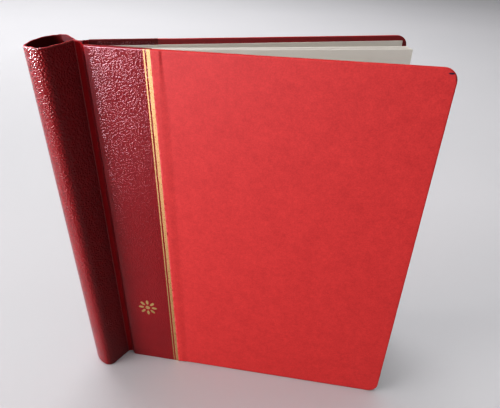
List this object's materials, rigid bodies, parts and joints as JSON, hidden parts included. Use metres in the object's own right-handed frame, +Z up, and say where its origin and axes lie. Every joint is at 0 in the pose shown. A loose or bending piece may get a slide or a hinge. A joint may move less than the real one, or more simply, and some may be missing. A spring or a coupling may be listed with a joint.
{
  "type": "spring-back stamp album",
  "caption": "Spring-back album: quarter-leather covers with red paper sides and gilt rules, hinged on a hollow C-shaped spring spine that clamps loose leaves.",
  "frame": {"origin": "bottom centre of the bounding box, on the surface the album stands on", "axes": "+X from the spine towards the fore-edges along the plane of the clamped leaves, +Y from the front cover to the back cover, +Z up the spine"},
  "size_m": [0.2834, 0.1038, 0.3068],
  "materials": {
    "spring_steel": "blued spring steel",
    "leather": "pebble-grained, semi-gloss",
    "lining_paper": "matte",
    "binding_cloth": "plain weave",
    "board": "grey board",
    "siding_paper": "matte, finely mottled",
    "pastedown_paper": "matte",
    "gilt": "blocked gold foil",
    "leaf_paper": "smooth, matte"
  },
  "bodies": {
    "spine": {"spring_back": "spring_steel", "spine_leather": "leather", "spine_lining": "lining_paper", "leaf_margins": "leaf_paper"},
    "front_jaw": {"front_jaw_cheek": "board", "front_lip_binding": "binding_cloth", "front_joint_leather": "leather", "front_inner_joint": "binding_cloth"},
    "front_cover": {"front_board": "board", "front_leather_strip": "leather", "front_paper_side": "siding_paper", "front_pastedown": "pastedown_paper", "front_rules": "gilt", "front_ornament": "gilt"},
    "back_jaw": {"back_jaw_cheek": "board", "back_lip_binding": "binding_cloth", "back_joint_leather": "leather", "back_inner_joint": "binding_cloth"},
    "back_cover": {"back_board": "board", "back_leather_strip": "leather", "back_paper_side": "siding_paper", "back_pastedown": "pastedown_paper", "back_rules": "gilt"},
    "leaf_01": {"leaf_01": "leaf_paper"},
    "leaf_02": {"leaf_02": "leaf_paper"},
    "leaf_03": {"leaf_03": "leaf_paper"},
    "leaf_04": {"leaf_04": "leaf_paper"},
    "leaf_05": {"leaf_05": "leaf_paper"},
    "leaf_06": {"leaf_06": "leaf_paper"},
    "leaf_07": {"leaf_07": "leaf_paper"},
    "leaf_08": {"leaf_08": "leaf_paper"},
    "leaf_09": {"leaf_09": "leaf_paper"},
    "leaf_10": {"leaf_10": "leaf_paper"},
    "leaf_11": {"leaf_11": "leaf_paper"},
    "leaf_12": {"leaf_12": "leaf_paper"}
  },
  "joints": [
    {"name": "front_jaw_open", "type": "hinge", "parent": "spine", "child": "front_jaw", "pos_m": [-0.14075, 0.02471, 0.1534], "axis": [0, 0, -1], "range_deg": [0, 12], "stiffness_Nm_per_rad": 5, "springref_deg": -5.73, "deforming": ["spring_back", "spine_leather", "spine_lining"]},
    {"name": "back_jaw_open", "type": "hinge", "parent": "spine", "child": "back_jaw", "pos_m": [-0.14075, 0.02471, 0.1534], "axis": [0, 0, 1], "range_deg": [0, 12], "stiffness_Nm_per_rad": 5, "springref_deg": -5.73},
    {"name": "front_cover_hinge", "type": "hinge", "parent": "front_jaw", "child": "front_cover", "pos_m": [-0.1045, 0.01979, 0.1534], "axis": [0, 0, -1], "range_deg": [-15.9, 76.1], "deforming": ["front_joint_leather", "front_inner_joint"]},
    {"name": "back_cover_hinge", "type": "hinge", "parent": "back_jaw", "child": "back_cover", "pos_m": [-0.1045, 0.02964, 0.1534], "axis": [0, 0, 1], "range_deg": [-4.2, 87.8], "deforming": ["back_joint_leather", "back_inner_joint"]},
    {"name": "leaf_01_turn", "type": "hinge", "parent": "spine", "child": "leaf_01", "pos_m": [-0.1045, 0.02306, 0.1534], "axis": [0, 0, -1], "range_deg": [-1, 4.79]},
    {"name": "leaf_02_turn", "type": "hinge", "parent": "spine", "child": "leaf_02", "pos_m": [-0.1045, 0.02336, 0.1534], "axis": [0, 0, -1], "range_deg": [-0.87, 4.17]},
    {"name": "leaf_03_turn", "type": "hinge", "parent": "spine", "child": "leaf_03", "pos_m": [-0.1045, 0.02366, 0.1534], "axis": [0, 0, -1], "range_deg": [-0.74, 3.54]},
    {"name": "leaf_04_turn", "type": "hinge", "parent": "spine", "child": "leaf_04", "pos_m": [-0.1045, 0.02396, 0.1534], "axis": [0, 0, -1], "range_deg": [-0.61, 2.92]},
    {"name": "leaf_05_turn", "type": "hinge", "parent": "spine", "child": "leaf_05", "pos_m": [-0.1045, 0.02426, 0.1534], "axis": [0, 0, -1], "range_deg": [-0.48, 2.3]},
    {"name": "leaf_06_turn", "type": "hinge", "parent": "spine", "child": "leaf_06", "pos_m": [-0.1045, 0.02456, 0.1534], "axis": [0, 0, -1], "range_deg": [-0.35, 1.68]},
    {"name": "leaf_07_turn", "type": "hinge", "parent": "spine", "child": "leaf_07", "pos_m": [-0.1045, 0.02486, 0.1534], "axis": [0, 0, 1], "range_deg": [-0.35, 7.32]},
    {"name": "leaf_08_turn", "type": "hinge", "parent": "spine", "child": "leaf_08", "pos_m": [-0.1045, 0.02516, 0.1534], "axis": [0, 0, 1], "range_deg": [-0.48, 10.04]},
    {"name": "leaf_09_turn", "type": "hinge", "parent": "spine", "child": "leaf_09", "pos_m": [-0.1045, 0.02546, 0.1534], "axis": [0, 0, 1], "range_deg": [-0.61, 12.75]},
    {"name": "leaf_10_turn", "type": "hinge", "parent": "spine", "child": "leaf_10", "pos_m": [-0.1045, 0.02576, 0.1534], "axis": [0, 0, 1], "range_deg": [-0.74, 15.47]},
    {"name": "leaf_11_turn", "type": "hinge", "parent": "spine", "child": "leaf_11", "pos_m": [-0.1045, 0.02606, 0.1534], "axis": [0, 0, 1], "range_deg": [-0.87, 18.19]},
    {"name": "leaf_12_turn", "type": "hinge", "parent": "spine", "child": "leaf_12", "pos_m": [-0.1045, 0.02636, 0.1534], "axis": [0, 0, 1], "range_deg": [-1, 20.91]}
  ],
  "couplings": [
    {"joint": "back_jaw_open", "follows": "front_jaw_open", "ratio": 1},
    {"joint": "leaf_01_turn", "follows": "front_cover_hinge", "ratio": 0.062893},
    {"joint": "leaf_02_turn", "follows": "front_cover_hinge", "ratio": 0.054717},
    {"joint": "leaf_03_turn", "follows": "front_cover_hinge", "ratio": 0.046541},
    {"joint": "leaf_04_turn", "follows": "front_cover_hinge", "ratio": 0.038365},
    {"joint": "leaf_05_turn", "follows": "front_cover_hinge", "ratio": 0.030189},
    {"joint": "leaf_06_turn", "follows": "front_cover_hinge", "ratio": 0.022013},
    {"joint": "leaf_07_turn", "follows": "back_cover_hinge", "ratio": 0.083333},
    {"joint": "leaf_08_turn", "follows": "back_cover_hinge", "ratio": 0.11429},
    {"joint": "leaf_09_turn", "follows": "back_cover_hinge", "ratio": 0.14524},
    {"joint": "leaf_10_turn", "follows": "back_cover_hinge", "ratio": 0.17619},
    {"joint": "leaf_11_turn", "follows": "back_cover_hinge", "ratio": 0.20714},
    {"joint": "leaf_12_turn", "follows": "back_cover_hinge", "ratio": 0.2381}
  ]
}
